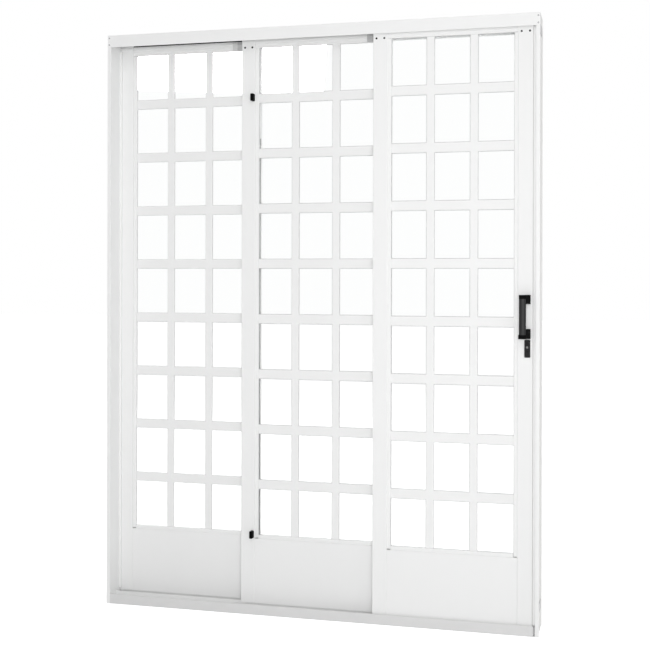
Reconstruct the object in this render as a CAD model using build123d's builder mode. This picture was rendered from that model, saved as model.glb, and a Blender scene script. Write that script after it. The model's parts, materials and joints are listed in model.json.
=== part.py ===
from build123d import *
import os

# Steel sliding door: three glazed leaves on three parallel tracks in one folded steel frame.
# Millimetres. X runs along the wall, Y from the front face to the back, Z up.
# The origin is the middle of the underside of the sill.

# Frame
frame_width = 1600
frame_height = 2130
frame_depth = 140
sheet = 2
flange = 14
web_inset = 8
fascia_height = 44.5
sill_lip_height = 36
sill_end_gap = 6
track_pitch = 45
rail_thickness = 3
sill_rail_top = 30
head_rail_bottom = 2104
fixing_hole_radius = 4
head_fixing_x = 600
sill_fixing_x = 650
fixing_y = track_pitch / 2

# Leaves
leaf_width = 560
leaf_step = 504.25
leaf_thickness = 30
leaf_bottom = 27
leaf_top = 2101
stile_top = 2114
stile_width = 52
stile_chamfer = 1.5
panel_setback = 0.5
groove_width = 14
top_groove_depth = 20
bottom_groove_depth = 31

# Glazing
columns = 3
rows = 9
pane_top = 2069
pane_height = 168
bar_width = 28
bar_height = 35
bar_depth = 5
bar_chamfer = 2
rear_bar_reduction = 6
bead_width = 13
rear_bead_width = 8
bead_depth = 9
bead_chamfer = 2
bead_joint = 0.5
drain_notch = 3
glass_thickness = 4
glass_edge_gap = 3

# Fittings of the frame
closing_gap = 3
closing_strip_depth = 26
keeper_thickness = 2
keeper_width = 20
keeper_height = 120
keeper_slot = (8, 40)
retaining_strip_width = 8
retaining_strip_depth = 10
anchor_heights = (92, 2080)
anchor_height = 30
anchor_reach = 5.5
anchor_pad_depth = 88
block_length = 60
block_inset = 40

# Fittings of the leaves
interlock_thickness = 3
interlock_depth = 10
interlock_bottom = 60
interlock_top = 2055
closing_interlock_inset = 2
opening_interlock_inset = 42.75
spacer_pad_start = 474
spacer_pad_length = 50
spacer_pad_thickness = 8
stop_inset = 35
stop_width = 16
stop_height = 30
stop_reach = 22
stop_heights = (280, 1885)
stop_fillet = 3
roller_radius = 11
roller_width = 6
roller_axle_radius = 3
roller_clearance = 0.3
roller_inset = 40

# Pull handle and lock, measured from the right edge of the right leaf
handle_bottom = 1016.5
handle_height = 150
handle_arm_height = 31
handle_foot_inset = 7.5
handle_foot_width = 18
grip_inset = 19.5
grip_width = 25
grip_depth = 14
handle_reach = 40
handle_foot_depth = 12
handle_fillet = 4
lock_height = 982
lock_plate_inset = 8.5
lock_plate_width = 20
lock_plate_height = 61
lock_plate_thickness = 3
lock_plate_fillet = 3
cylinder_offset = 5
cylinder_radius = 8
cylinder_reach = 6
cylinder_chamfer = 1

# Places worked out from the sizes above
half_width = frame_width / 2
half_depth = frame_depth / 2
reveal_left = -half_width + web_inset
reveal_right = half_width - web_inset
fascia_bottom = frame_height - fascia_height
head_ceiling = frame_height - sheet
front_track = -track_pitch
middle_track = 0
rear_track = track_pitch
tracks = (front_track, middle_track, rear_track)
half_leaf = leaf_thickness / 2
half_glass = glass_thickness / 2
opening_width = leaf_width - 2 * stile_width
glazing_width = opening_width - 2 * bead_width
pane_width = (glazing_width - (columns - 1) * bar_width) / columns
pane_bottom = pane_top - rows * pane_height - (rows - 1) * bar_height
kick_panel_top = pane_bottom - bead_width
top_rail_bottom = pane_top + bead_width
left_leaf_x = reveal_left
middle_leaf_x = left_leaf_x + leaf_step
right_leaf_x = middle_leaf_x + leaf_step
right_leaf_end = right_leaf_x + leaf_width

os.makedirs("parts", exist_ok=True)


def save(part, label):
    """Label a finished piece and write it to its own file."""
    part.label = label
    export_step(part, "parts/" + label + ".step")


def block(x_range, y_range, z_range, mode=Mode.ADD):
    """Add a block between two places along each axis to the part that is being built."""
    with BuildSketch(Plane.XY.offset(z_range[0])) as profile:
        with Locations(((x_range[0] + x_range[1]) / 2, (y_range[0] + y_range[1]) / 2)):
            Rectangle(x_range[1] - x_range[0], y_range[1] - y_range[0])
    extrude(profile.sketch, amount=z_range[1] - z_range[0], mode=mode)


def cut(x_range, y_range, z_range):
    """Take a block away from the part that is being built."""
    block(x_range, y_range, z_range, mode=Mode.SUBTRACT)


def jamb(side, label):
    """One side post: a folded channel, open towards the wall, with its top inside the head."""
    outer = side * half_width
    reveal = side * (half_width - web_inset)
    web = sorted((reveal, reveal + side * sheet))
    face = sorted((side * (half_width - flange), outer))
    tongue = sorted((reveal, outer))
    with BuildPart() as post:
        block(web, (-half_depth, half_depth), (0, fascia_bottom))
        for front in (-half_depth, half_depth - sheet):
            block(face, (front, front + sheet), (0, fascia_bottom))
        block(web, (-half_depth + sheet, half_depth - sheet), (fascia_bottom, head_ceiling))
        for front in (-half_depth + sheet, half_depth - 2 * sheet):
            block(tongue, (front, front + sheet), (fascia_bottom - sheet, head_ceiling))
    save(post.part, label)


def head():
    """The head: a folded channel over the jambs, with one guide rail above each track."""
    with BuildPart() as channel:
        block((-half_width, half_width), (-half_depth, half_depth), (head_ceiling, frame_height))
        for front in (-half_depth, half_depth - sheet):
            block((-half_width, half_width), (front, front + sheet), (fascia_bottom, frame_height))
        for track in tracks:
            rail = (track - rail_thickness / 2, track + rail_thickness / 2)
            block((reveal_left, reveal_right), rail, (head_rail_bottom, head_ceiling))
        with Locations(Plane.XY.offset(frame_height)):
            with GridLocations(2 * head_fixing_x, 2 * fixing_y, 2, 2):
                Hole(fixing_hole_radius, depth=sheet)
    save(channel.part, "head_track")


def sill():
    """The sill: a folded tray between the jambs, with one rail on each track."""
    with BuildPart() as tray:
        block((reveal_left, reveal_right), (-half_depth + sheet, half_depth - sheet), (0, sheet))
        lip_left = -half_width + flange
        lip_right = half_width - flange
        front = (-half_depth, -half_depth + sheet)
        block((lip_left, lip_right - sill_end_gap), front, (0, sill_lip_height))
        rear = (half_depth - sheet, half_depth)
        block((lip_left, lip_right), rear, (0, sill_lip_height))
        for track in tracks:
            rail = (track - rail_thickness / 2, track + rail_thickness / 2)
            block((reveal_left, reveal_right), rail, (sheet, sill_rail_top))
        with Locations(Plane.XY.offset(sheet)):
            with GridLocations(2 * sill_fixing_x, 2 * fixing_y, 2, 2):
                Hole(fixing_hole_radius, depth=sheet)
    save(tray.part, "sill_track")


def closing_strip():
    """The strip on the right jamb that the right leaf closes against, and its lock keeper."""
    strip_x = (right_leaf_end + closing_gap, reveal_right)
    strip_y = (front_track - closing_strip_depth / 2, front_track + closing_strip_depth / 2)
    keeper_x = (strip_x[0], strip_x[0] + keeper_thickness)
    keeper_y = (front_track - keeper_width / 2, front_track + keeper_width / 2)
    keeper_z = (lock_height - keeper_height / 2, lock_height + keeper_height / 2)
    slot_y = (front_track - keeper_slot[0] / 2, front_track + keeper_slot[0] / 2)
    slot_z = (lock_height - keeper_slot[1] / 2, lock_height + keeper_slot[1] / 2)
    with BuildPart() as strip:
        block(strip_x, strip_y, (sill_lip_height, fascia_bottom))
        cut(keeper_x, keeper_y, keeper_z)
    save(strip.part, "closing_strip")
    with BuildPart() as keeper:
        block(keeper_x, keeper_y, keeper_z)
        cut(keeper_x, slot_y, slot_z)
    save(keeper.part, "lock_keeper")


def retaining_strip():
    """The strip on the left jamb that holds the fixed leaf from the front."""
    leaf_front = rear_track - half_leaf
    with BuildPart() as strip:
        block(
            (reveal_left, reveal_left + retaining_strip_width),
            (leaf_front - retaining_strip_depth, leaf_front),
            (sill_lip_height, fascia_bottom),
        )
    save(strip.part, "retaining_strip")


def wall_anchors(side, label):
    """Dark straps inside a jamb, thicker in front, where they show beside the flange."""
    near = side * (half_width - web_inset + sheet)
    plate = sorted((near, near + side * sheet))
    pad = sorted((near, near + side * anchor_reach))
    inner = half_depth - 2 * sheet
    with BuildPart() as straps:
        for height in anchor_heights:
            span = (height - anchor_height / 2, height + anchor_height / 2)
            block(plate, (-inner, inner), span)
            block(pad, (-inner, anchor_pad_depth - inner), span)
    save(straps.part, label)


def stile(left, track, label):
    """An upright of a leaf, with chamfered edges and a slot for the tracks' rails at both ends."""
    across = (left, left + stile_width)
    groove = (track - groove_width / 2, track + groove_width / 2)
    with BuildPart() as upright:
        block(across, (track - half_leaf, track + half_leaf), (leaf_bottom, stile_top))
        chamfer(upright.edges().filter_by(Axis.Z), stile_chamfer)
        cut(across, groove, (stile_top - top_groove_depth, stile_top))
        cut(across, groove, (leaf_bottom, leaf_bottom + bottom_groove_depth))
    save(upright.part, label)


def top_rail(left, track, label):
    """The rail across the top of a leaf, below the ends of its stiles."""
    across = (left + stile_width, left + leaf_width - stile_width)
    face = half_leaf - panel_setback
    with BuildPart() as rail:
        block(across, (track - face, track + face), (top_rail_bottom, leaf_top))
    save(rail.part, label)


def kick_panel(left, track, label):
    """The plain panel below the glass, grooved underneath for the sill's rail."""
    across = (left + stile_width, left + leaf_width - stile_width)
    face = half_leaf - panel_setback
    groove = (track - groove_width / 2, track + groove_width / 2)
    with BuildPart() as panel:
        block(across, (track - face, track + face), (leaf_bottom, kick_panel_top))
        cut(across, groove, (leaf_bottom, leaf_bottom + bottom_groove_depth))
    save(panel.part, label)


def glass(left, track, label):
    """One sheet of glass held between the two bead frames of a leaf."""
    across = (left + stile_width + glass_edge_gap, left + leaf_width - stile_width - glass_edge_gap)
    with BuildPart() as sheet_of_glass:
        block(
            across,
            (track - half_glass, track + half_glass),
            (kick_panel_top + glass_edge_gap, top_rail_bottom - glass_edge_gap),
        )
    save(sheet_of_glass.part, label)


def glazing_side(track, side):
    """The plane of one face of the glass, looking outwards: side -1 is the front, 1 the back."""
    face = track + side * half_glass
    return Plane(origin=(0, face, 0), x_dir=(-side, 0, 0), z_dir=(0, side, 0))


def chamfer_outer(part, outer_y, on_edge, size):
    """Chamfer the edges of the outer face of beads or bars that on_edge picks by their middles."""
    edges = part.edges().filter_by(lambda edge: abs(edge.center().Y - outer_y) < 0.01)
    chamfer(edges.filter_by(lambda edge: on_edge(edge.center())), size)


def beads(left, track, label):
    """The strips round the glass, in front of and behind it, with notches that drain the bottom."""
    centre_x = left + leaf_width / 2
    with BuildPart() as strips:
        for side, width in ((-1, bead_width), (1, rear_bead_width)):
            inner_width = opening_width - 2 * width
            inner_top = top_rail_bottom - width
            inner_bottom = kick_panel_top + width
            upright_bottom = kick_panel_top + drain_notch
            upright_height = inner_top - bead_joint - upright_bottom
            with BuildSketch(glazing_side(track, side)) as profile:
                with Locations((-side * centre_x, inner_top + width / 2)):
                    Rectangle(opening_width, width)
                with Locations((-side * centre_x, inner_bottom - width / 2)):
                    Rectangle(inner_width - 2 * bead_joint, width)
                with Locations((-side * centre_x, upright_bottom + upright_height / 2)):
                    with GridLocations(inner_width + width, 0, 2, 1):
                        Rectangle(width, upright_height)
            extrude(profile.sketch, amount=bead_depth)
            chamfer_outer(
                strips,
                track + side * (half_glass + bead_depth),
                lambda middle: abs(abs(middle.X - centre_x) - inner_width / 2) < 0.01
                or abs(middle.Z - inner_top) < 0.01
                or abs(middle.Z - inner_bottom) < 0.01,
                bead_chamfer,
            )
    save(strips.part, label)


def glazing_bars(left, track, label):
    """The lattices of bevelled bars in front of and behind the glass, fused where they cross."""
    centre_x = left + leaf_width / 2
    centre_z = (pane_top + pane_bottom) / 2
    with BuildPart() as lattice:
        sides = ((-1, bead_width, 0), (1, rear_bead_width, rear_bar_reduction))
        for side, width, reduction in sides:
            inner_width = opening_width - 2 * width
            inner_height = top_rail_bottom - kick_panel_top - 2 * width
            with BuildSketch(glazing_side(track, side)) as profile:
                with Locations((-side * centre_x, centre_z)):
                    with GridLocations(pane_width + bar_width, 0, columns - 1, 1):
                        Rectangle(bar_width - reduction, inner_height)
                    with GridLocations(0, pane_height + bar_height, 1, rows - 1):
                        Rectangle(inner_width, bar_height - reduction)
            extrude(profile.sketch, amount=bar_depth)
            chamfer_outer(
                lattice,
                track + side * (half_glass + bar_depth),
                lambda middle: abs(middle.X - centre_x) < inner_width / 2 - 1
                and abs(middle.Z - centre_z) < inner_height / 2 - 1,
                bar_chamfer,
            )
    save(lattice.part, label)


def interlock(left, near_y, towards, inset_left, label):
    """An upright steel lip on a stile that catches the lip of the next leaf."""
    lip = sorted((near_y, near_y + towards * interlock_depth))
    with BuildPart() as strip:
        block(
            (left + inset_left, left + inset_left + interlock_thickness),
            lip,
            (interlock_bottom, interlock_top),
        )
    save(strip.part, label)


def spacer_pad(left, track, label):
    """A dark pad on the top corner of a leaf that keeps the next leaf off it."""
    leaf_front = track - half_leaf
    rail_front = leaf_front + panel_setback
    rail_end = left + leaf_width - stile_width
    pad_end = left + spacer_pad_start + spacer_pad_length
    with BuildPart() as pad:
        block(
            (left + spacer_pad_start, rail_end),
            (leaf_front - spacer_pad_thickness, rail_front),
            (top_rail_bottom, leaf_top),
        )
        block(
            (left + spacer_pad_start, pad_end),
            (leaf_front - spacer_pad_thickness, leaf_front),
            (pane_top, leaf_top),
        )
    save(pad.part, label)


def setting_blocks(left, track, label):
    """The two blocks that carry the fixed leaf on its rail."""
    starts = (
        left + stile_width + block_inset,
        left + leaf_width - stile_width - block_inset - block_length,
    )
    with BuildPart() as blocks:
        for start in starts:
            block(
                (start, start + block_length),
                (track - groove_width / 2, track + groove_width / 2),
                (sill_rail_top, leaf_bottom + bottom_groove_depth),
            )
    save(blocks.part, label)


def rollers(left, track, label):
    """The two wheels of a sliding leaf, each on an axle across the groove."""
    height = sill_rail_top + roller_clearance + roller_radius
    centres = (left + stile_width + roller_inset, left + leaf_width - stile_width - roller_inset)
    axle_plane = Plane.XZ.offset(-track)
    with BuildPart() as wheels:
        with BuildSketch(axle_plane):
            with Locations(*[(x, height) for x in centres]):
                Circle(roller_radius)
        extrude(amount=roller_width / 2, both=True)
        with BuildSketch(axle_plane):
            with Locations(*[(x, height) for x in centres]):
                Circle(roller_axle_radius)
        extrude(amount=groove_width / 2, both=True)
    save(wheels.part, label)


def stops(left, track, label):
    """The two black blocks on the middle leaf that stop the right leaf."""
    face = track - half_leaf
    with BuildPart() as blocks:
        for height in stop_heights:
            block(
                (left + stop_inset, left + stop_inset + stop_width),
                (face - stop_reach, face),
                (height - stop_height / 2, height + stop_height / 2),
            )
        fillet(blocks.edges().filter_by(Axis.Y), stop_fillet)
    save(blocks.part, label)


def pull_handle():
    """The black pull handle: a grip that stands to the left of its two feet."""
    face = front_track - half_leaf
    foot_right = right_leaf_end - handle_foot_inset
    foot_left = foot_right - handle_foot_width
    grip_right = right_leaf_end - grip_inset
    grip_left = grip_right - grip_width
    grip_front = face - handle_reach
    grip_back = grip_front + grip_depth
    foot_front = face - handle_foot_depth
    arm_bottoms = (handle_bottom, handle_bottom + handle_height - handle_arm_height)
    with BuildPart() as handle:
        grip_z = (handle_bottom, handle_bottom + handle_height)
        block((grip_left, grip_right), (grip_front, grip_back), grip_z)
        fillet(handle.edges().filter_by(Axis.Z), handle_fillet)
        for arm_bottom in arm_bottoms:
            with BuildSketch(Plane.XY.offset(arm_bottom)):
                with BuildLine():
                    Polyline(
                        (foot_left, face),
                        (foot_right, face),
                        (foot_right, foot_front),
                        (grip_right, grip_front + handle_fillet),
                        (grip_left + handle_fillet, grip_back),
                        (grip_right - handle_fillet, grip_back),
                        (foot_left, foot_front),
                        close=True,
                    )
                make_face()
            extrude(amount=handle_arm_height)
    save(handle.part, "pull_handle")


def lock():
    """The plates on both sides of the lock, and the key cylinder in the front one."""
    plate_right = right_leaf_end - lock_plate_inset
    centre_x = plate_right - lock_plate_width / 2
    face = front_track - half_leaf
    sides = (("lock_plate", face, -1), ("rear_lock_plate", front_track + half_leaf, 1))
    for label, near, outwards in sides:
        plate_plane = Plane(origin=(centre_x, near, lock_height), x_dir=(1, 0, 0), z_dir=(0, outwards, 0))
        with BuildPart() as plate:
            with BuildSketch(plate_plane):
                RectangleRounded(lock_plate_width, lock_plate_height, lock_plate_fillet)
            extrude(amount=lock_plate_thickness)
        save(plate.part, label)
    cylinder_face = face - lock_plate_thickness
    cylinder_centre = (centre_x, cylinder_face, lock_height + cylinder_offset)
    cylinder_plane = Plane(origin=cylinder_centre, x_dir=(1, 0, 0), z_dir=(0, -1, 0))
    with BuildPart() as cylinder:
        with BuildSketch(cylinder_plane):
            Circle(cylinder_radius)
        extrude(amount=cylinder_reach)
        chamfer(cylinder.faces().sort_by(Axis.Y)[0].edges(), cylinder_chamfer)
    save(cylinder.part, "lock_cylinder")


jamb(-1, "left_jamb")
jamb(1, "right_jamb")
head()
sill()
closing_strip()
retaining_strip()
wall_anchors(-1, "left_wall_anchors")
wall_anchors(1, "right_wall_anchors")

leaves = (
    ("left_leaf", left_leaf_x, rear_track),
    ("middle_leaf", middle_leaf_x, middle_track),
    ("right_leaf", right_leaf_x, front_track),
)
for name, left, track in leaves:
    stile(left, track, name + "_left_stile")
    stile(left + leaf_width - stile_width, track, name + "_right_stile")
    top_rail(left, track, name + "_top_rail")
    kick_panel(left, track, name + "_kick_panel")
    glass(left, track, name + "_glass")
    beads(left, track, name + "_beads")
    glazing_bars(left, track, name + "_glazing_bars")

closing_lip = leaf_width - closing_interlock_inset - interlock_thickness
for name, left, track in leaves[:2]:
    interlock(left, track - half_leaf, -1, closing_lip, name + "_front_interlock")
    spacer_pad(left, track, name + "_spacer_pad")
for name, left, track in leaves[1:]:
    interlock(left, track + half_leaf, 1, opening_interlock_inset, name + "_rear_interlock")
    rollers(left, track, name + "_rollers")

setting_blocks(left_leaf_x, rear_track, "left_leaf_setting_blocks")
stops(middle_leaf_x, middle_track, "middle_leaf_stops")
pull_handle()
lock()
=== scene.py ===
# %% [markdown]
# Steel sliding door, dressed for a studio picture.
# The door is already modelled in CAD: a folded steel frame with three tracks and three glazed
# leaves. This notebook gives every piece its paint, glass or plastic, and adds the small pieces
# that are easier to make here, such as screws and seals. Everything is in metres. X runs along the
# wall, Y goes away from us, Z is up, and the origin is the middle of the underside of the sill.

# %% Load the door
import bpy
import bmesh
import json
import math
from mathutils import Matrix, Vector


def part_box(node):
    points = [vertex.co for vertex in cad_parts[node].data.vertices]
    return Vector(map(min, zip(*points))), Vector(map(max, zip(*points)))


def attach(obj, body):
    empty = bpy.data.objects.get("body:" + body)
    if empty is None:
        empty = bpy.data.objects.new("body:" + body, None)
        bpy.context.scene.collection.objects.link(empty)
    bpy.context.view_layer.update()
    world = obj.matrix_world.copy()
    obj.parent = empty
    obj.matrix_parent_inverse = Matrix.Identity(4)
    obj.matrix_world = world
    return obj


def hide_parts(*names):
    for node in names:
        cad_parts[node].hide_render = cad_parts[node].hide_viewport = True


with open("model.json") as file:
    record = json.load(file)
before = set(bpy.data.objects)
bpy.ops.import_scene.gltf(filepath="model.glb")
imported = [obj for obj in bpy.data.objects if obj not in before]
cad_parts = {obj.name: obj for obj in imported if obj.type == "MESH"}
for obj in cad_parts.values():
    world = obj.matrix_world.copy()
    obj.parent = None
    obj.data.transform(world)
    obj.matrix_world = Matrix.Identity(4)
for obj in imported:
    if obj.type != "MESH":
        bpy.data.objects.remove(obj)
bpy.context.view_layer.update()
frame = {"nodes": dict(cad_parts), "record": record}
nodes = frame["nodes"]

# %% [markdown]
# The camera comes first, because it decides how large everything looks. The photograph was taken
# from the right of the door at breast height, with the lens level, so the upright lines stay
# upright. A lens shift moves the door up in the picture instead of tilting the camera, as a
# photographer of buildings would do it.

# %% Camera
picture_width = 650
focal_length = 1146
horizon_row = 278.2
camera_place = Vector((1.0722, -4.0294, 1.2218))
camera_yaw = math.radians(14.546)
camera_roll = math.radians(0.139)

camera_data = bpy.data.cameras.new("photo_camera")
camera_data.sensor_width = 36
camera_data.lens = camera_data.sensor_width * focal_length / picture_width
camera_data.shift_y = (horizon_row - picture_width / 2) / picture_width
camera = bpy.data.objects.new("photo_camera", camera_data)
bpy.context.scene.collection.objects.link(camera)
turn = Matrix.Rotation(camera_yaw, 4, "Z") @ Matrix.Rotation(math.radians(90), 4, "X")
camera.matrix_world = Matrix.Translation(camera_place) @ turn @ Matrix.Rotation(camera_roll, 4, "Z")
bpy.context.scene.camera = camera
print("lens", round(camera_data.lens, 2), "mm, shift", round(camera_data.shift_y, 4))

# %% [markdown]
# Materials are trees of nodes, and long trees are hard to read as code. One small class wraps an
# output socket, so that plus, minus, times and so on write the Math nodes for us. A second one
# holds the tree and has a single method that adds any other node: first its settings, then the
# values or links of its sockets.

# %% Shader maths as plain expressions
class Wire:
    """An output socket. Arithmetic with it adds a Math node and gives that node's output."""

    def __init__(self, finish, socket):
        self.finish = finish
        self.socket = socket

    def math(self, operation, first, second, clamp=False):
        settings = {"operation": operation, "use_clamp": clamp}
        return self.finish.node("ShaderNodeMath", settings, {0: first, 1: second})["Value"]

    def __add__(self, other):
        return self.math("ADD", self, other)

    def __radd__(self, other):
        return self.math("ADD", other, self)

    def __sub__(self, other):
        return self.math("SUBTRACT", self, other)

    def __rsub__(self, other):
        return self.math("SUBTRACT", other, self)

    def __mul__(self, other):
        return self.math("MULTIPLY", self, other)

    def __rmul__(self, other):
        return self.math("MULTIPLY", other, self)

    def clamped(self):
        return self.math("ADD", self, 0, clamp=True)

    def rise(self, start, end):
        """0 below start and 1 above end, with a smooth rise between."""
        values = {"Value": self, "From Min": start, "From Max": end}
        smooth = {"interpolation_type": "SMOOTHSTEP"}
        return self.finish.node("ShaderNodeMapRange", smooth, values)["Result"]


class Finish:
    """The node tree of one material or of the world."""

    def __init__(self, owner):
        owner.use_nodes = True
        self.owner = owner
        self.tree = owner.node_tree
        self.tree.nodes.clear()

    def node(self, kind, settings=None, sockets=None):
        """Add a node: its settings are set first, then its sockets get values or links."""
        made = self.tree.nodes.new(kind)
        for name, value in (settings or {}).items():
            setattr(made, name, value)
        usable = [socket for socket in made.inputs if socket.enabled]
        by_name = {socket.name: socket for socket in reversed(usable)}
        for name, value in (sockets or {}).items():
            socket = usable[name] if isinstance(name, int) else by_name[name]
            if isinstance(value, Wire):
                self.tree.links.new(value.socket, socket)
            else:
                socket.default_value = value
        return {socket.name: Wire(self, socket) for socket in made.outputs if socket.enabled}

    def place(self):
        """The place on the object in metres, which rides with the piece."""
        return self.node("ShaderNodeTexCoord")["Object"]

    def noise(self, scale, detail=2, stretch=(1, 1, 1)):
        """Smooth noise around 0.5, with about scale lumps in a metre, stretched along an axis."""
        mapped = self.node("ShaderNodeMapping", None, {"Vector": self.place(), "Scale": stretch})
        values = {"Vector": mapped["Vector"], "Scale": scale, "Detail": detail}
        return self.node("ShaderNodeTexNoise", None, values)["Fac"]

    def tint(self, amount, colour, other):
        """A colour that goes from colour to other as amount goes from 0 to 1."""
        sockets = {"Factor": amount, "A": colour, "B": other}
        return self.node("ShaderNodeMix", {"data_type": "RGBA"}, sockets)["Result"]

    def bump(self, height, depth, below=None):
        """A normal that follows height, where a height of 1 stands depth metres proud."""
        sockets = {"Height": height, "Distance": depth}
        if below is not None:
            sockets["Normal"] = below
        return self.node("ShaderNodeBump", None, sockets)["Normal"]

    def surface(self, **sockets):
        """The Principled shader with these sockets, written as words with _ for spaces."""
        named = {name.replace("_", " "): value for name, value in sockets.items()}
        return self.node("ShaderNodeBsdfPrincipled", None, named)["BSDF"]

    def output(self, shader, kind="ShaderNodeOutputMaterial"):
        self.node(kind, None, {"Surface": shader})


def grey(value):
    return (value, value, value, 1)


print("Shader helpers are ready")

# %% [markdown]
# The studio: a white world that the camera, the glass and the gloss see at full white, while it
# lights the door more softly. The floor is white paper that also glows a little where it is seen,
# so that the door stands on plain white without a horizon. It could all be done with lamps and no
# world, but then a white door would show hard edges of light.

# %% World and floor
world_light = 0.515


def seen_directly(finish):
    """1 for rays from the camera, from gloss and through glass, and 0 for light on the way."""
    path = finish.node("ShaderNodeLightPath")
    seen = path["Is Camera Ray"] + path["Is Glossy Ray"] + path["Is Transmission Ray"]
    return seen.clamped()


world = bpy.data.worlds.new("studio")
bpy.context.scene.world = world
sky = Finish(world)
soft_sockets = {"Color": grey(1), "Strength": world_light}
soft = sky.node("ShaderNodeBackground", None, soft_sockets)["Background"]
white = sky.node("ShaderNodeBackground", None, {"Color": grey(1), "Strength": 1})["Background"]
both = sky.node("ShaderNodeMixShader", None, {0: seen_directly(sky), 1: soft, 2: white})["Shader"]
sky.output(both, "ShaderNodeOutputWorld")

floor_glow = 0.65
paper_tone = 0.8
half_floor = 30
floor_mesh = bpy.data.meshes.new("floor")
corners = [(-half_floor, -half_floor, 0), (half_floor, -half_floor, 0)]
corners += [(half_floor, half_floor, 0), (-half_floor, half_floor, 0)]
floor_mesh.from_pydata(corners, [], [(0, 1, 2, 3)])
floor = bpy.data.objects.new("floor", floor_mesh)
bpy.context.scene.collection.objects.link(floor)
floor_finish = Finish(bpy.data.materials.new("floor_paper"))
paper = floor_finish.node("ShaderNodeBsdfDiffuse", None, {"Color": grey(paper_tone)})["BSDF"]
glow_sockets = {"Color": grey(1), "Strength": seen_directly(floor_finish) * floor_glow}
glow = floor_finish.node("ShaderNodeEmission", None, glow_sockets)["Emission"]
floor_finish.output(floor_finish.node("ShaderNodeAddShader", None, {0: paper, 1: glow})["Shader"])
floor_mesh.materials.append(floor_finish.owner)
print("World lights at", world_light)

# %% [markdown]
# Four lamps shape the door. The front one is a soft box near the camera, low enough to shine under
# the head onto the top rails, and close enough for its light to fall off towards the floor. The key
# lamp above it gives the head its brighter tone and the soft shadow below. The side lamp stands
# almost in the plane of the door, so it lights the faces that look to the right and barely touches
# the front. The back lamp keeps the rear readable and does nothing in the photograph's view.

# %% Lamps
def soft_lamp(name, place, aim, width, height, power):
    """A rectangular lamp at place that points at aim."""
    data = bpy.data.lights.new(name, "AREA")
    data.shape = "RECTANGLE"
    data.size = width
    data.size_y = height
    data.energy = power
    lamp = bpy.data.objects.new(name, data)
    bpy.context.scene.collection.objects.link(lamp)
    direction = Vector(aim) - Vector(place)
    turned = direction.to_track_quat("-Z", "Y").to_matrix().to_4x4()
    lamp.matrix_world = Matrix.Translation(place) @ turned
    print(name, "at", place, power, "W")


soft_lamp("front_lamp", (1.2, -4.7, 1.5), (0, 0, 1.3), 1.6, 0.8, 83)
soft_lamp("key_lamp", (1.6, -4.4, 4.4), (0.1, 0, 1.4), 2.0, 1.4, 20)
soft_lamp("side_lamp", (4.6, -0.35, 1.3), (0.8, -0.03, 1.1), 1.0, 2.2, 40)
soft_lamp("back_lamp", (-2.5, 5.2, 3.6), (0, 0, 1.1), 2.4, 1.6, 100)
bpy.context.scene.view_settings.view_transform = "Standard"

# %% [markdown]
# The frame and the leaves are folded steel sheet under a baked white enamel. Real enamel is never
# one flat white. It has a fine orange peel, the thin sheet under it is a little wavy, its tone
# drifts by a percent or so, and dust settles near the floor. All of these are noises in the
# object's own place, so they keep their real size and ride with the leaves. The front face of the
# sill is a tone darker than the rest: painted shade.

# %% White enamel on steel sheet
front_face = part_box("sill_track")[0].y
face_fade = (0.0004, 0.0012)
tone_drift = 0.03
dust_heights = (0.02, 0.34)
dust_shade = (0.74, 0.735, 0.725)
speck_edges = (0.74, 0.8)
speck_share = 0.12
foot_base = 0.55
foot_patches = 0.6
fine_share = 0.35
fine_roughness = 0.12
dust_roughness = 0.35
broad_lumps = 2.2
fine_lumps = 55
speck_lumps = 420
peel_lumps = 620
peel_depth = 0.00005
wave_lumps = 5
wave_depth = 0.0012


def drifting(finish, tone, colour):
    """A colour that goes from a little darker to a little lighter as tone goes from 0 to 1."""
    dark = tuple(part * (1 - tone_drift) for part in colour)
    light = tuple(min(1, part * (1 + tone_drift)) for part in colour)
    return finish.tint(tone, (*dark, 1), (*light, 1))


def enamel(name, colour, dust, drift, gloss, face_shade_colour=None):
    """Baked enamel: colour, dust near the floor, tone drift, roughness, the front face's painted
    shade.
    """
    finish = Finish(bpy.data.materials.new(name))
    place = finish.node("ShaderNodeSeparateXYZ", None, {"Vector": finish.place()})
    height = place["Z"]
    broad = finish.noise(broad_lumps, 3, (1, 1, 0.5))
    fine = finish.noise(fine_lumps, 2, (1, 1, 0.25))
    specks = finish.noise(speck_lumps, 1).rise(*speck_edges)
    foot = (1 - height.rise(*dust_heights)) * (foot_base + foot_patches * broad)
    soil = (foot * dust + specks * speck_share).clamped()
    tone = ((broad - 0.5) * drift + (fine - 0.5) * drift * fine_share + 0.5).clamped()
    clean = drifting(finish, tone, colour)
    # A darker colour on the front face of the sill: painted shade.
    if face_shade_colour:
        behind_face = place["Y"].rise(front_face + face_fade[0], front_face + face_fade[1])
        clean = finish.tint(behind_face, drifting(finish, tone, face_shade_colour), clean)
    dust_colour = tuple(part * shade for part, shade in zip(colour, dust_shade))
    dusty = finish.tint(soil, clean, (*dust_colour, 1))
    rough = gloss + (fine - 0.5) * fine_roughness + soil * dust_roughness
    peel = finish.noise(peel_lumps, 2)
    wave = finish.noise(wave_lumps, 1, (1, 1, 0.6))
    normal = finish.bump(peel, peel_depth, finish.bump(wave, wave_depth))
    shader = finish.surface(
        Base_Color=dusty,
        Roughness=rough.clamped(),
        Normal=normal,
        IOR=1.5,
    )
    finish.output(shader)
    return finish.owner


white_paint = enamel("white_enamel", (0.86, 0.862, 0.86), 0.03, 0.5, 0.5)
# The sill's darker front face colour is painted shade.
sill_paint = enamel("sill_enamel", (0.85, 0.852, 0.85), 0.1, 1.2, 0.5, (0.7, 0.7, 0.7))
print("Enamels:", white_paint.name, sill_paint.name)

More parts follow.
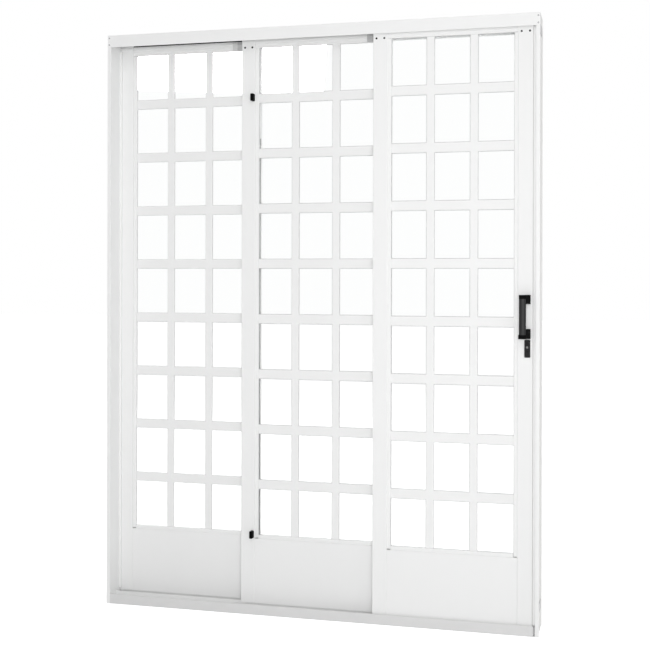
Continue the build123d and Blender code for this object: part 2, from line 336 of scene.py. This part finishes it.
# %% [markdown]
# The glass is one clear float sheet in each leaf, 4 mm thick. A Principled shader with full
# transmission bends light as glass does, but path tracing then finds little light behind it, so
# shadow rays pass through a plain Transparent shader instead. A faint film of dust and wiping marks
# lives in the roughness only.

# %% Glass
film_lumps = 7
film_edges = (0.45, 0.8)
film_roughness = 0.02
glass = Finish(bpy.data.materials.new("float_glass"))
film = glass.noise(film_lumps, 3, (1, 1, 0.4)).rise(*film_edges)
pane = glass.surface(
    Base_Color=(0.985, 0.992, 0.99, 1),
    Roughness=(film * film_roughness).clamped(),
    IOR=1.45,
    Transmission_Weight=1,
)
clear = glass.node("ShaderNodeBsdfTransparent", None, {"Color": (0.97, 0.98, 0.975, 1)})["BSDF"]
shadow_ray = glass.node("ShaderNodeLightPath")["Is Shadow Ray"]
glass.output(glass.node("ShaderNodeMixShader", None, {0: shadow_ray, 1: pane, 2: clear})["Shader"])
print("Glass is", glass.owner.name)

# %% [markdown]
# The handle and the stops are moulded black plastic with a fine spark-eroded grain. The pads
# between the leaves and the blocks under the fixed leaf are a softer grey plastic, the lock plate
# is enamelled black, and the hidden wheels are pale nylon. The seals, the sealant and the packing
# are rubber and foam. The black rubber of the seals and of the keyway also stands in for the shade
# in gaps and in the slot of the lock: painted shade. One recipe makes them all: a grain bump, a
# little tone drift, and brighter rubbed places where hands and leaves touch. A deep grain also
# swallows most of the sheen, so the black pieces get a low specular level.

# %% Plastics
drift_lumps = 30
grain_lumps = 1500
rub_lumps = 90
rub_edges = (0.55, 0.8)
rub_gain = 1.6
rub_lift = 0.02
rub_polish = 0.2
drift_share = 0.3
drift_roughness = 0.15


def moulded(name, colour, rough, grain, rubbed, sheen=0.5):
    """Plastic of one colour: roughness, grain in metres, share of rubbed places, specular level."""
    finish = Finish(bpy.data.materials.new(name))
    drift = finish.noise(drift_lumps, 2)
    pits = finish.noise(grain_lumps, 2)
    wear = finish.noise(rub_lumps, 3).rise(*rub_edges) * rubbed
    worn = tuple(min(1, part * rub_gain + rub_lift) for part in colour)
    base = finish.tint((wear + (drift - 0.5) * drift_share).clamped(), (*colour, 1), (*worn, 1))
    shader = finish.surface(
        Base_Color=base,
        Roughness=(rough + (drift - 0.5) * drift_roughness - wear * rub_polish).clamped(),
        Normal=finish.bump(pits, grain),
        IOR=1.49,
        Specular_IOR_Level=sheen,
    )
    finish.output(shader)
    return finish.owner


black_plastic = moulded("black_plastic", (0.002, 0.002, 0.0022), 0.5, 0.00003, 0.05, 0.03)
grip_plastic = moulded("grip_plastic", (0.008, 0.008, 0.0085), 0.42, 0.00003, 0.15, 0.28)
plate_enamel = moulded("plate_enamel", (0.005, 0.005, 0.0055), 0.4, 0.00002, 0.15, 0.14)
dark_plastic = moulded("dark_plastic", (0.5, 0.5, 0.505), 0.6, 0.00004, 0.3)
roller_plastic = moulded("roller_nylon", (0.78, 0.76, 0.7), 0.4, 0.00001, 0.1)
# Black rubber: on the seals and the keyway its black is also painted shade.
black_rubber_and_shade = moulded("black_rubber_and_shade", (0.006, 0.006, 0.006), 0.75, 0.00006, 0.05, 0.1)
ramp_plastic = moulded("ramp_plastic", (0.7, 0.7, 0.7), 0.55, 0.00004, 0.2)
sealant_grey = moulded("glazing_sealant", (0.3, 0.3, 0.305), 0.6, 0.00003, 0.1)
pale_rubber = moulded("pale_rubber", (0.8, 0.8, 0.79), 0.7, 0.00006, 0.2)
packing_foam = moulded("packing_foam", (0.82, 0.82, 0.81), 0.85, 0.0003, 0.1)
print("Plastics are mixed")

# %% [markdown]
# The wall anchors and the head's screws are dull zinc, the screws of the leaves are blackened
# steel, the keeper of the lock is bright plated steel, and its plug is worn nickel. Metal shows its
# making: fine scratches in one direction change the roughness, and the plating has cloudy places.

# %% Metals
cloud_lumps = 60
cloud_gain = 1.25
cloud_roughness = 0.2
scratch_roughness = 0.25
scratch_depth = 0.00001


def plated(name, colour, rough, scratch_lumps):
    """Plated steel with fine scratches along Z and cloudy places."""
    finish = Finish(bpy.data.materials.new(name))
    cloud = finish.noise(cloud_lumps, 3)
    scratch = finish.noise(scratch_lumps, 2, (1, 1, 0.05))
    pale = tuple(min(1, part * cloud_gain) for part in colour)
    clouded = rough + (cloud - 0.5) * cloud_roughness
    shader = finish.surface(
        Base_Color=finish.tint(cloud, (*colour, 1), (*pale, 1)),
        Metallic=1,
        Roughness=(clouded + (scratch - 0.5) * scratch_roughness).clamped(),
        Normal=finish.bump(scratch, scratch_depth),
    )
    finish.output(shader)
    return finish.owner


bright_metal = plated("plated_steel", (0.5, 0.5, 0.49), 0.35, 1800)
key_metal = plated("worn_nickel", (0.13, 0.13, 0.128), 0.4, 1800)
dark_steel = plated("dull_zinc", (0.4, 0.4, 0.405), 0.55, 900)
black_steel = plated("blackened_steel", (0.012, 0.012, 0.013), 0.5, 900)
print("Metals:", bright_metal.name, dark_steel.name)

# %% [markdown]
# Each CAD node gets the material of its slot in the record, and only the plates and cylinder of the
# lock get an enamel of their own. Folded sheet has no knife edges, so a small bevel catches the
# light along every fold. The CAD mesh itself stays as it is: the bevel is a modifier, after a weld
# that joins the corners of neighbouring faces.

# %% Dress the CAD nodes
weld_distance = 0.00001
sharp_angle = 35
slot_finishes = {
    "white_paint": (white_paint, 0.0006),
    "sill_paint": (sill_paint, 0.0006),
    "glass": (glass.owner, 0),
    "black_plastic": (black_plastic, 0.0008),
    "dark_plastic": (dark_plastic, 0.0008),
    "roller_plastic": (roller_plastic, 0.0005),
    "bright_metal": (bright_metal, 0.0004),
    "dark_steel": (dark_steel, 0.0005),
}


def round_edges(piece, width):
    """Bevel the sharp edges of a piece by width metres."""
    weld = piece.modifiers.new("weld", "WELD")
    weld.merge_threshold = weld_distance
    bevel = piece.modifiers.new("edges", "BEVEL")
    bevel.width = width
    bevel.segments = 2
    bevel.limit_method = "ANGLE"
    bevel.angle_limit = math.radians(sharp_angle)


for subpart in frame["record"]["subparts"]:
    node = nodes[subpart["node"]]
    finish, edge = slot_finishes[subpart["material_slot"]]
    node.data.materials.clear()
    node.data.materials.append(finish)
    if edge:
        round_edges(node, edge)
for piece in ("lock_plate", "rear_lock_plate", "lock_cylinder"):
    nodes[piece].data.materials[0] = plate_enamel

# %% [markdown]
# New pieces are built as bmeshes. Four helpers do the work: one turns a bmesh into an object that
# rides on a body of the door, one raises a flat outline into a bar, one adds a plain block, and one
# joins rings of points into the skin of something turned.

# %% Helpers for new pieces
def finish_piece(name, mesh_maker, material, body, smooth=False):
    """Turn a bmesh into a shown piece that rides on a body and takes the given material."""
    mesh = bpy.data.meshes.new(name)
    bmesh.ops.recalc_face_normals(mesh_maker, faces=mesh_maker.faces)
    mesh_maker.to_mesh(mesh)
    mesh_maker.free()
    mesh.materials.append(material)
    for polygon in mesh.polygons:
        polygon.use_smooth = smooth
    piece = bpy.data.objects.new(name, mesh)
    bpy.context.scene.collection.objects.link(piece)
    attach(piece, body)
    print(name, "has", len(mesh.polygons), "faces")
    return piece


def add_bar(shape, outline, low, high):
    """Raise an outline of (x, y) points from height low to height high."""
    bottom = [shape.verts.new((x, y, low)) for x, y in outline]
    top = [shape.verts.new((x, y, high)) for x, y in outline]
    shape.faces.new(bottom)
    shape.faces.new(top)
    for here, after in zip(range(len(outline)), [*range(1, len(outline)), 0]):
        shape.faces.new((bottom[here], bottom[after], top[after], top[here]))


def add_block(shape, low, high):
    """Add a block between two corners."""
    outline = [(low[0], low[1]), (high[0], low[1]), (high[0], high[1]), (low[0], high[1])]
    add_bar(shape, outline, low[2], high[2])


def join_rings(shape, rings):
    """Join neighbouring rings of points by faces. The first ring is a single point."""
    for inner, outer in zip(rings, rings[1:]):
        turns = len(outer)
        for step in range(turns):
            after = (step + 1) % turns
            if len(inner) == 1:
                shape.faces.new((inner[0], outer[step], outer[after]))
            else:
                shape.faces.new((inner[step], outer[step], outer[after], inner[after]))


print("Piece helpers are ready")

# %% [markdown]
# Pan-head screws hold the head to the posts, the top corners of the leaves and the lock plate. A
# screw head could be a cylinder with a boolean cross cut into it. Here it is a polar grid instead:
# rings of points whose height follows the crown of the head and drops inside the cross. It needs no
# boolean and keeps clean faces.

# %% Screws
screw_turns = 40
screw_rings = [0, 0.08, 0.14, 0.2, 0.26, 0.32, 0.38, 0.44]
screw_rings += [0.5, 0.56, 0.64, 0.74, 0.84, 0.92, 0.97, 1]
screw_rise = 0.0014
crown_fall = 0.96
recess_depth = 0.55
arm_half_width = 0.11
arm_slope = 0.05
arm_reach = 0.42
end_slope = 0.1


def cross_depth(across, up, radius):
    """How deep the cross recess is at a place on the head, as a share of its full depth."""
    arm = min(abs(across), abs(up)) / radius
    reach = max(abs(across), abs(up)) / radius
    in_arm = 1 if arm < arm_half_width else max(0, 1 - (arm - arm_half_width) / arm_slope)
    in_reach = 1 if reach < arm_reach else max(0, 1 - (reach - arm_reach) / end_slope)
    return in_arm * in_reach


def add_screw(shape, centre, outward, radius, height):
    """Add a pan head with a cross recess at centre, facing along outward."""
    outward = Vector(outward).normalized()
    turn_to = Vector((0, 0, 1)).rotation_difference(outward).to_matrix()
    rings = []
    for share in screw_rings:
        crown = height * math.sqrt(1 - crown_fall * share**4) if share < 1 else 0
        ring = []
        for step in range(screw_turns if share else 1):
            angle = 2 * math.pi * step / screw_turns
            across = radius * share * math.cos(angle)
            up = radius * share * math.sin(angle)
            sunk = crown - recess_depth * height * cross_depth(across, up, radius)
            ring.append(shape.verts.new(Vector(centre) + turn_to @ Vector((across, up, sunk))))
        rings.append(ring)
    join_rings(shape, rings)


def screws(name, places, outward, radius, material, body):
    """One piece that holds a group of screws of the same size."""
    shape = bmesh.new()
    for place in places:
        add_screw(shape, place, outward, radius, screw_rise)
    return finish_piece(name, shape, material, body, smooth=True)


to_front = (0, -1, 0)
to_back = (0, 1, 0)
head_low, head_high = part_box("head_track")
end_inset = 0.0065
head_screw_heights = (2.1195, 2.0945)
head_screw_radius = 0.0032
head_ends = (head_low.x + end_inset, head_high.x - end_inset)
head_places = [(x, head_low.y, z) for x in head_ends for z in head_screw_heights]
screws("head_screws", head_places, to_front, head_screw_radius, dark_steel, "frame")

stile_screw_height = 2.0705
stile_screw_insets = (0.012, 0.040)
stile_screw_radius = 0.0036
for leaf in ("middle_leaf", "right_leaf"):
    left_low, left_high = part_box(leaf + "_left_stile")
    right_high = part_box(leaf + "_right_stile")[1]
    across = [left_low.x + inset for inset in stile_screw_insets]
    across += [right_high.x - inset for inset in stile_screw_insets]
    for label, face, outward in (("front", left_low.y, to_front), ("rear", left_high.y, to_back)):
        places = [(x, face, stile_screw_height) for x in across]
        group = leaf + "_" + label + "_screws"
        screws(group, places, outward, stile_screw_radius, black_steel, leaf)

# %% [markdown]
# The pull handle is a dark grey grip between two black end blocks, each with an arm that runs back
# to a foot on the stile. The CAD handle has that shape with plain faces. Here it is rebuilt from
# outlines, with a crowned grip and separate end blocks, and it replaces the CAD node.

# %% Pull handle
handle_low, handle_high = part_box("pull_handle")
upper_arm_height = 0.031
lower_arm_height = 0.0335
cap_height = 0.0135
grip_width = 0.025
cap_depth = 0.0155
cap_corner = 0.004
lower_cap_overhang = 0.002
foot_depth = 0.012
foot_width = 0.018
neck_corner = 0.0015
neck_step = (0.003, 0.006)
edge_softness = 0.0008
cap_left = handle_low.x
cap_right = handle_low.x + grip_width
leaf_face = handle_high.y
foot_left = handle_high.x - foot_width


def rounded(points, radius, steps=5):
    """Round the corners of an outline of (x, y) points by radius."""
    outline = []
    for before, here, after in zip([points[-1], *points[:-1]], points, [*points[1:], points[0]]):
        corner = Vector(here)
        to_before = (Vector(before) - corner).normalized()
        to_after = (Vector(after) - corner).normalized()
        opening = to_before.angle(to_after)
        reach = radius / math.tan(opening / 2)
        start = corner + to_before * reach
        end = corner + to_after * reach
        for step in range(steps + 1):
            share = step / steps
            bend = (1 - share) ** 2 * start + 2 * share * (1 - share) * corner + share**2 * end
            outline.append((bend.x, bend.y))
    return outline


neck_outline = [
    (foot_left, leaf_face),
    (handle_high.x, leaf_face),
    (handle_high.x, leaf_face - foot_depth),
    (cap_right, handle_low.y + cap_corner),
    (cap_right - neck_step[0], handle_low.y + neck_step[1]),
    (cap_right - cap_corner, handle_low.y + cap_depth),
    (foot_left, leaf_face - foot_depth),
]
ends = bmesh.new()
lower_arm = (handle_low.z, handle_low.z + lower_arm_height)
upper_arm = (handle_high.z - upper_arm_height, handle_high.z)
lower_cap = (handle_low.z, handle_low.z + cap_height, lower_cap_overhang)
upper_cap = (handle_high.z - cap_height, handle_high.z, 0)
for bottom, top in (lower_arm, upper_arm):
    add_bar(ends, rounded(neck_outline, neck_corner), bottom, top)
for bottom, top, overhang in (lower_cap, upper_cap):
    left = cap_left - overhang
    cap_back = handle_low.y + cap_depth
    cap_outline = [
        (left, handle_low.y),
        (cap_right, handle_low.y),
        (cap_right, cap_back),
        (left, cap_back),
    ]
    add_bar(ends, rounded(cap_outline, cap_corner), bottom, top)
handle_ends = finish_piece("handle_ends", ends, black_plastic, "right_leaf")
round_edges(handle_ends, edge_softness)
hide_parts("pull_handle")

grip_setback = 0.0012
grip_left_setback = 0.0005
grip_depth = 0.0115
shoulder_depth = 0.004
shoulder_width = 0.001
crown_depth = 0.003
crown_steps = 9
grip_left = cap_left + grip_left_setback
grip_right = cap_right - grip_setback
grip_front = handle_low.y + grip_setback
crown_width = grip_right - grip_left - 2 * shoulder_width
crown = [(grip_left, grip_front + grip_depth), (grip_left, grip_front + shoulder_depth)]
for step in range(crown_steps + 1):
    share = step / crown_steps
    lift = crown_depth * (2 * share - 1) ** 2
    crown.append((grip_left + shoulder_width + share * crown_width, grip_front + lift))
crown += [(grip_right, grip_front + shoulder_depth), (grip_right, grip_front + grip_depth)]
grip = bmesh.new()
add_bar(grip, crown, handle_low.z + cap_height, handle_high.z - cap_height)
finish_piece("handle_grip", grip, grip_plastic, "right_leaf")

# %% [markdown]
# The lock has a narrow black plate with a screw above and below its cylinder. The cylinder is dark,
# and only the small plug that the key turns is bare metal. The plug is a short turned disc, and the
# keyway is a black sheet set on it: painted shade of the slot.

# %% Lock details
plate_low, plate_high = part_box("lock_plate")
cylinder_low, cylinder_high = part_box("lock_cylinder")
plate_middle = (plate_low.x + plate_high.x) / 2
key_height = (cylinder_low.z + cylinder_high.z) / 2
lower_screw_rise = 0.0205
upper_screw_drop = 0.0105
plate_screw_radius = 0.003
plate_screw_heights = (plate_low.z + lower_screw_rise, plate_high.z - upper_screw_drop)
plate_places = [(plate_middle, plate_low.y, z) for z in plate_screw_heights]
screws("lock_plate_screws", plate_places, to_front, plate_screw_radius, plate_enamel, "right_leaf")

plug_profile = [(0.0, 0.0), (0.003, 0.0), (0.0037, 0.0004), (0.004, 0.0012)]
plug_turns = 48
plug_rise = 0.0009
plug = bmesh.new()
rings = []
for radius, back in plug_profile:
    ring = []
    for step in range(plug_turns if radius else 1):
        angle = 2 * math.pi * step / plug_turns
        x = plate_middle + radius * math.cos(angle)
        z = key_height + radius * math.sin(angle)
        ring.append(plug.verts.new((x, cylinder_low.y - plug_rise + back, z)))
    rings.append(ring)
join_rings(plug, rings)
finish_piece("key_plug", plug, key_metal, "right_leaf")

keyway_rise = 0.0011
keyway_depth = 0.0006
keyway_parts = ((-0.0005, 0.0005, 0.0028), (-0.0012, -0.0004, 0.0006))
slot_front = cylinder_low.y - keyway_rise
slot_back = slot_front + keyway_depth
# A thin black sheet on the plug face: painted shade of the keyway's slot.
keyway_shade = bmesh.new()
for left, right, half_height in keyway_parts:
    low = (plate_middle + left, slot_front, key_height - half_height)
    high = (plate_middle + right, slot_back, key_height + half_height)
    add_block(keyway_shade, low, high)
finish_piece("keyway_shade", keyway_shade, black_rubber_and_shade, "right_leaf")

# %% [markdown]
# Black pile seals keep draughts out. One runs along the top rail of each leaf, inside the head, and
# shows as the dark line above the rail, behind the low white lip that holds it. Its black also
# stands in for the shade inside the head: painted shade. A rubber strip on the closing edge of the
# left leaf shows as a thin dark line behind the first panes of the middle leaf: its black is
# painted shade of the gap between the two leaves. It is thinner towards its top. A pale rubber
# buffer fills the gap between the right leaf and the closing strip.

# %% Seals
pile_setback = 0.0015
pile_thickness = 0.004
pile_height = 0.013
carrier_height = 0.002
for leaf in ("left_leaf", "middle_leaf", "right_leaf"):
    body = "frame" if leaf == "left_leaf" else leaf
    rail_low, rail_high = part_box(leaf + "_top_rail")
    # Its black pile is also painted shade of the gap above the rail.
    pile_and_shade = bmesh.new()
    pile_front = rail_low.y + pile_setback
    low = (rail_low.x, pile_front, rail_high.z)
    high = (rail_high.x, pile_front + pile_thickness, rail_high.z + pile_height)
    add_block(pile_and_shade, low, high)
    finish_piece(leaf + "_top_seal_and_shade", pile_and_shade, black_rubber_and_shade, body)
    carrier = bmesh.new()
    low = (rail_low.x, rail_low.y, rail_high.z)
    high = (rail_high.x, pile_front, rail_high.z + carrier_height)
    add_block(carrier, low, high)
    finish_piece(leaf + "_seal_carrier", carrier, white_paint, body)

edge_low, edge_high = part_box("left_leaf_right_stile")
strip_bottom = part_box("left_leaf_front_interlock")[0].z
strip_setback = 0.004
strip_width = 0.0032
strip_rise = 0.0016
strip_top_rise = 0.0008
strip_top = 1.74
# A black rubber strip: painted shade of the gap between the left and middle leaves.
edge_strip_shade = bmesh.new()
strip_front = edge_low.y + strip_setback
add_block(
    edge_strip_shade,
    (edge_high.x, strip_front, strip_bottom),
    (edge_high.x + strip_rise, strip_front + strip_width, strip_top),
)
strip_middle = (strip_bottom + strip_top) / 2
for corner in edge_strip_shade.verts:
    if corner.co.z > strip_middle and corner.co.x > edge_high.x:
        corner.co.x = edge_high.x + strip_top_rise
finish_piece("left_leaf_edge_seal_and_shade", edge_strip_shade, black_rubber_and_shade, "frame")

leaf_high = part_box("right_leaf_right_stile")[1]
strip_low, strip_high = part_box("closing_strip")
buffer_gap = 0.0004
buffer_setback = 0.0008
buffer = bmesh.new()
buffer_low = (leaf_high.x + buffer_gap, strip_low.y + buffer_setback, strip_low.z)
buffer_high = (strip_low.x, strip_high.y - buffer_setback, strip_high.z)
add_block(buffer, buffer_low, buffer_high)
finish_piece("closing_buffer", buffer, pale_rubber, "frame")

# %% [markdown]
# A thin bead of grey sealant runs around every pane, where the bars meet the glass. It shows as a
# fine line along the edges of the bars. Each pane gets a low frame of four strips on the front of
# the glass, spaced between the stiles, rail and panel. The fixed left leaf shows less of it.

# %% Sealant around the panes
columns = 3
rows = 9
bar_width = 0.028
bar_height = 0.035
bead_width = 0.013
sealant_rise = 0.001
sealant_widths = {"left_leaf": 0.0004, "middle_leaf": 0.0008, "right_leaf": 0.0008}
for leaf, width in sealant_widths.items():
    body = "frame" if leaf == "left_leaf" else leaf
    grid_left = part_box(leaf + "_left_stile")[1].x + bead_width
    grid_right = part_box(leaf + "_right_stile")[0].x - bead_width
    grid_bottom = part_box(leaf + "_kick_panel")[1].z + bead_width
    grid_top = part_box(leaf + "_top_rail")[0].z - bead_width
    glass_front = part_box(leaf + "_glass")[0].y
    pane_width = (grid_right - grid_left - (columns - 1) * bar_width) / columns
    pane_height = (grid_top - grid_bottom - (rows - 1) * bar_height) / rows
    print(leaf, "panes are", round(pane_width, 4), "by", round(pane_height, 4), "m")
    sealant = bmesh.new()
    for column in range(columns):
        left = grid_left + column * (pane_width + bar_width)
        right = left + pane_width
        for row in range(rows):
            bottom = grid_bottom + row * (pane_height + bar_height)
            top = bottom + pane_height
            strips = (
                (left, left + width, bottom, top),
                (right - width, right, bottom, top),
                (left + width, right - width, bottom, bottom + width),
                (left + width, right - width, top - width, top),
            )
            for start, end, below, above in strips:
                low = (start, glass_front - sealant_rise, below)
                add_block(sealant, low, (end, glass_front, above))
    finish_piece(leaf + "_sealant", sealant, sealant_grey, body)

# %% [markdown]
# The stops are small moulded blocks with rounded corners, fixed to the middle leaf. The CAD's own
# blocks are plain and a little larger. These are raised from a rounded outline, turned to face us,
# and replace them, with the face that meets the right leaf in the same place.

# %% Stops
stops_low, stops_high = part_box("middle_leaf_stops")
stop_width = 0.0125
stop_height = 0.027
stop_reach = 0.02
stop_corner = 0.004
stop_edge = 0.001
half_cad_stop = 0.015
stop_front = stops_high.y - stop_reach
blocks = bmesh.new()
for middle in (stops_low.z + half_cad_stop, stops_high.z - half_cad_stop):
    bottom = middle - stop_height / 2
    top = middle + stop_height / 2
    left = stops_high.x - stop_width
    outline = [(left, bottom), (stops_high.x, bottom), (stops_high.x, top), (left, top)]
    add_bar(blocks, rounded(outline, stop_corner), stop_front, stops_high.y)
for corner in blocks.verts:
    corner.co.yz = corner.co.zy
stop_blocks = finish_piece("stop_blocks", blocks, black_plastic, "middle_leaf")
round_edges(stop_blocks, stop_edge)
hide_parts("middle_leaf_stops")

# %% [markdown]
# The pad on the left leaf centres the middle leaf when it closes. It starts with a ramp, so that
# the leaf slides onto it without a knock. The ramp is a three-cornered bar beside the CAD pad.

# %% Ramp of the pad
pad_low, pad_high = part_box("left_leaf_spacer_pad")
pad_rail_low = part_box("left_leaf_top_rail")[0]
ramp_length = 0.021
ramp_outline = [
    (pad_low.x, pad_low.y),
    (pad_low.x, pad_rail_low.y),
    (pad_low.x - ramp_length, pad_rail_low.y),
]
ramp = bmesh.new()
add_bar(ramp, ramp_outline, pad_low.z, pad_high.z)
finish_piece("left_leaf_pad_ramp", ramp, ramp_plastic, "frame")

# %% [markdown]
# A post is a channel that is open towards the wall. Fitters pack it with strips of stiff foam
# between the anchors, so that it doesn't ring or bow. From the side the foam is what one sees in
# the channel, so it is made here as three blocks for each post, with a small gap at each anchor.

# %% Packing in the posts
foam_reach = 0.0035
foam_gap = 0.001
anchor_height = 0.03
posts = (
    (-1, "left_jamb", "left_wall_anchors"),
    (1, "right_jamb", "right_wall_anchors"),
)
for side, jamb, anchors in posts:
    jamb_low, jamb_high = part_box(jamb)
    anchor_low, anchor_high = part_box(anchors)
    near = anchor_low.x if side > 0 else anchor_high.x
    across = sorted((near, near + side * foam_reach))
    spans = (
        (jamb_low.z, anchor_low.z - foam_gap),
        (anchor_low.z + anchor_height + foam_gap, anchor_high.z - anchor_height - foam_gap),
        (anchor_high.z + foam_gap, jamb_high.z),
    )
    foam = bmesh.new()
    for bottom, top in spans:
        add_block(foam, (across[0], anchor_low.y, bottom), (across[1], anchor_high.y, top))
    finish_piece(jamb + "_packing", foam, packing_foam, "frame")
